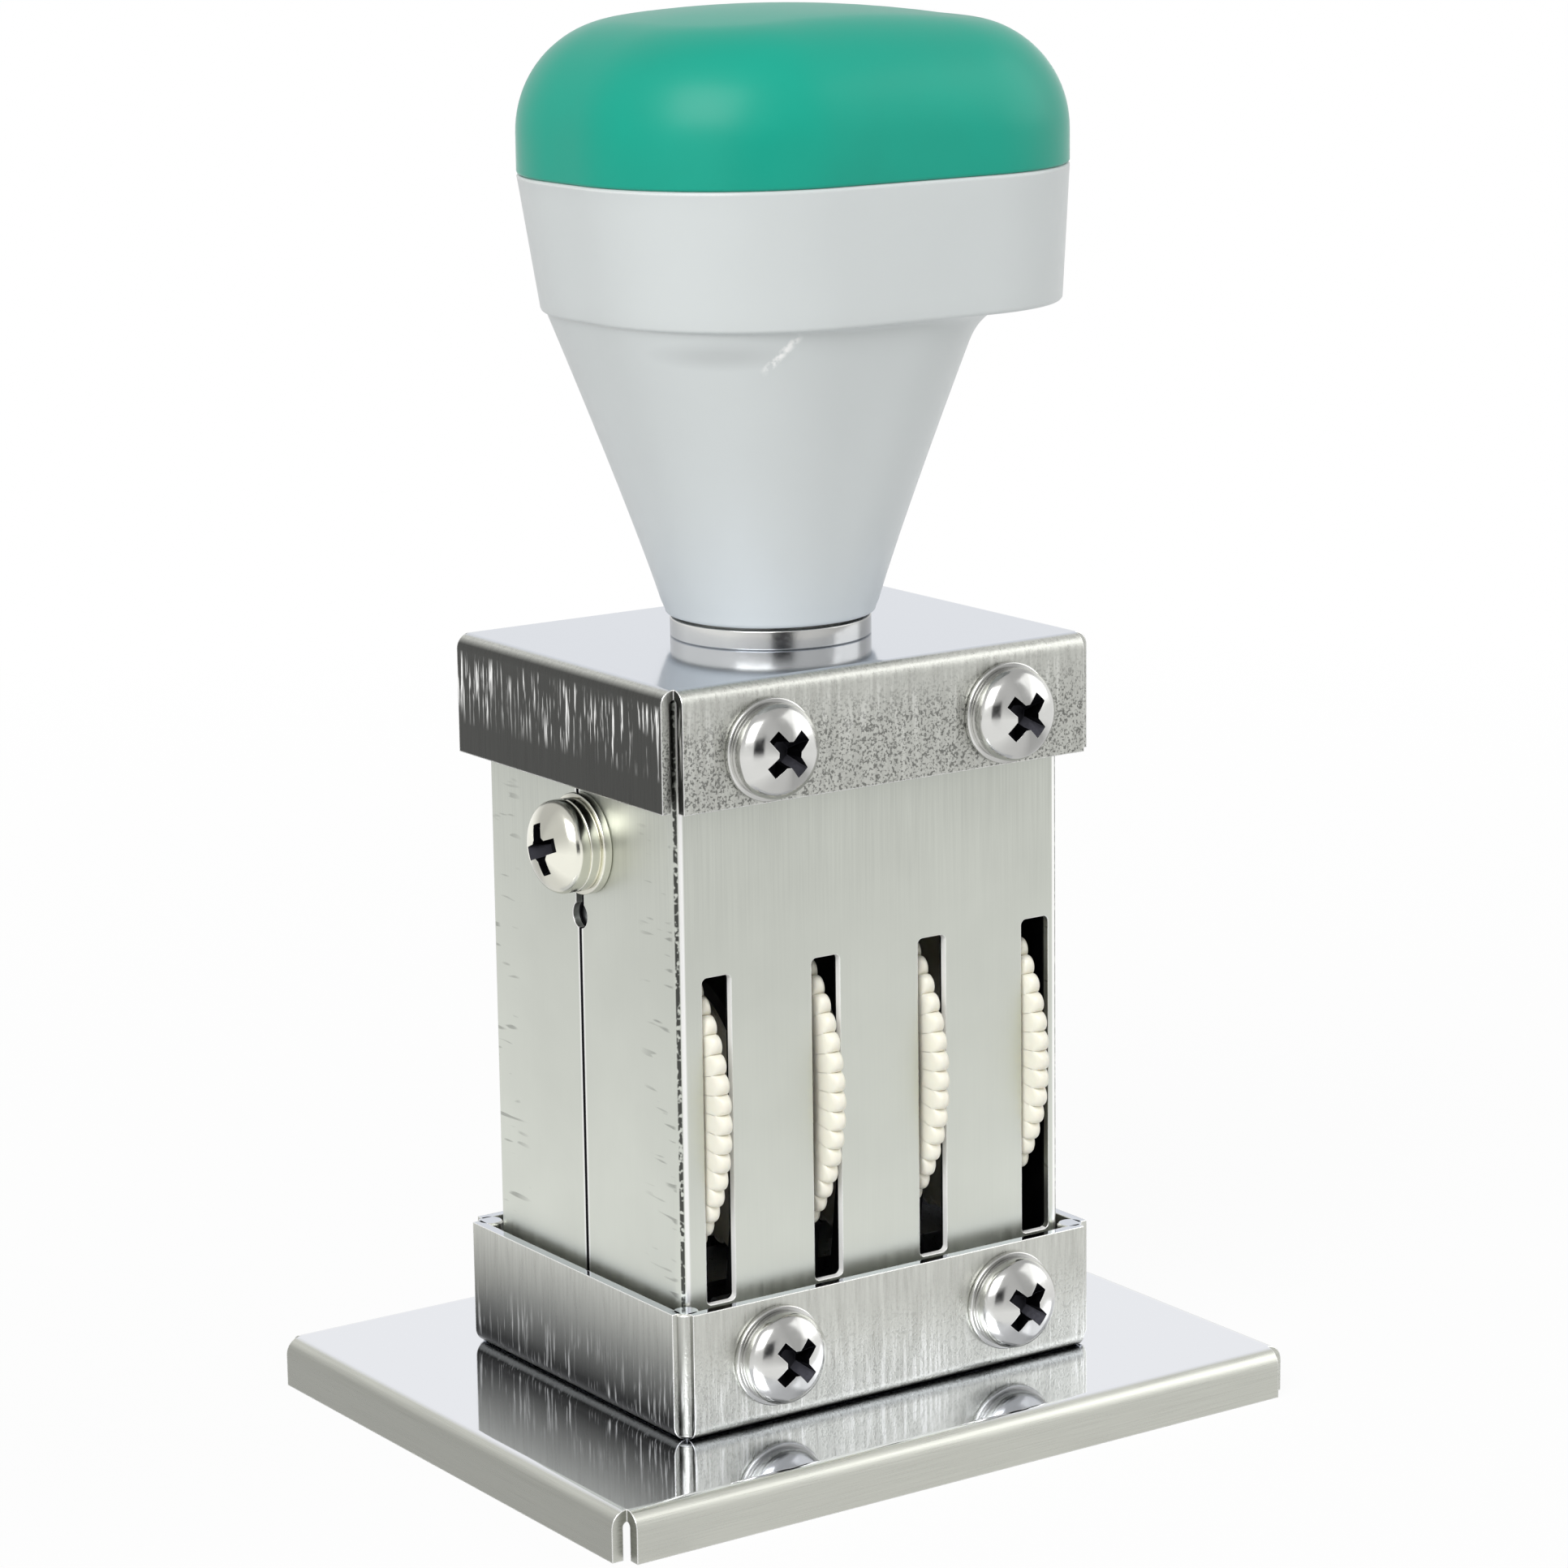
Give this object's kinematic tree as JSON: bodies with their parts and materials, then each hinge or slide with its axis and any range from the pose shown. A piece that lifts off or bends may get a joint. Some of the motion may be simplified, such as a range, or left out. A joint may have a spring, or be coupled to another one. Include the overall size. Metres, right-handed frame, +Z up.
{
  "type": "numbering machine",
  "caption": "Hand numbering machine: folded steel housing on a base plate, slots with thumb wheels that turn number belts, and a moulded push handle with a soft domed cap.",
  "frame": {"origin": "on the axis of the handle and the housing, on the surface that the base flanges stand on", "axes": "+Z up through the handle, +X along the slotted front towards the handle's overhang, +Y from the front to the back"},
  "size_m": [0.0668, 0.054, 0.116],
  "materials": {
    "mirror_sheet": "polished stainless steel sheet",
    "satin_sheet": "bright stainless steel sheet, lightly brushed, folded",
    "frame_sheet": "plain steel sheet, zinc plated",
    "axle_steel": "ground steel rod",
    "screw_steel": "bright stainless steel, pressed and turned",
    "rivet_aluminium": "set aluminium rivets",
    "platen_aluminium": "milled",
    "wheel_plastic": "moulded acetal, natural white",
    "belt_rubber": "moulded rubber, matte",
    "guide_plastic": "moulded, black",
    "handle_plastic": "moulded ABS, fine satin, light blue-grey",
    "cap_elastomer": "moulded soft elastomer, satin matte, teal green"
  },
  "bodies": {
    "machine": {"base_plate": "mirror_sheet", "base_rivets": "rivet_aluminium", "belt_guide": "guide_plastic", "cap_distance_rings": "screw_steel", "cap_nuts": "screw_steel", "cap_screws": "screw_steel", "cap_washers": "screw_steel", "front_shell": "satin_sheet", "handle_body": "handle_plastic", "handle_cap": "cap_elastomer", "handle_collar": "screw_steel", "handle_stud": "screw_steel", "number_belt_1": "belt_rubber", "number_belt_2": "belt_rubber", "number_belt_3": "belt_rubber", "number_belt_4": "belt_rubber", "platen": "platen_aluminium", "platen_screws": "screw_steel", "rear_shell": "satin_sheet", "side_nuts": "screw_steel", "side_screws": "screw_steel", "side_spring_washers": "screw_steel", "side_washers": "screw_steel", "stud_nut": "screw_steel", "stud_washer": "screw_steel", "top_cap": "satin_sheet", "tray": "satin_sheet", "tray_distance_rings": "screw_steel", "tray_nuts": "screw_steel", "tray_screws": "screw_steel", "tray_washers": "screw_steel", "wheel_axle": "axle_steel", "wheel_frame": "frame_sheet"},
    "number_wheel_1": {"number_wheel_1": "wheel_plastic"},
    "number_wheel_2": {"number_wheel_2": "wheel_plastic"},
    "number_wheel_3": {"number_wheel_3": "wheel_plastic"},
    "number_wheel_4": {"number_wheel_4": "wheel_plastic"}
  },
  "joints": [
    {"name": "wheel_1_turn", "type": "hinge", "parent": "machine", "child": "number_wheel_1", "pos_m": [0, 0, 0.0295], "axis": [1, 0, 0], "continuous": true},
    {"name": "wheel_2_turn", "type": "hinge", "parent": "machine", "child": "number_wheel_2", "pos_m": [0, 0, 0.0295], "axis": [1, 0, 0], "continuous": true},
    {"name": "wheel_3_turn", "type": "hinge", "parent": "machine", "child": "number_wheel_3", "pos_m": [0, 0, 0.0295], "axis": [1, 0, 0], "continuous": true},
    {"name": "wheel_4_turn", "type": "hinge", "parent": "machine", "child": "number_wheel_4", "pos_m": [0, 0, 0.0295], "axis": [1, 0, 0], "continuous": true}
  ]
}
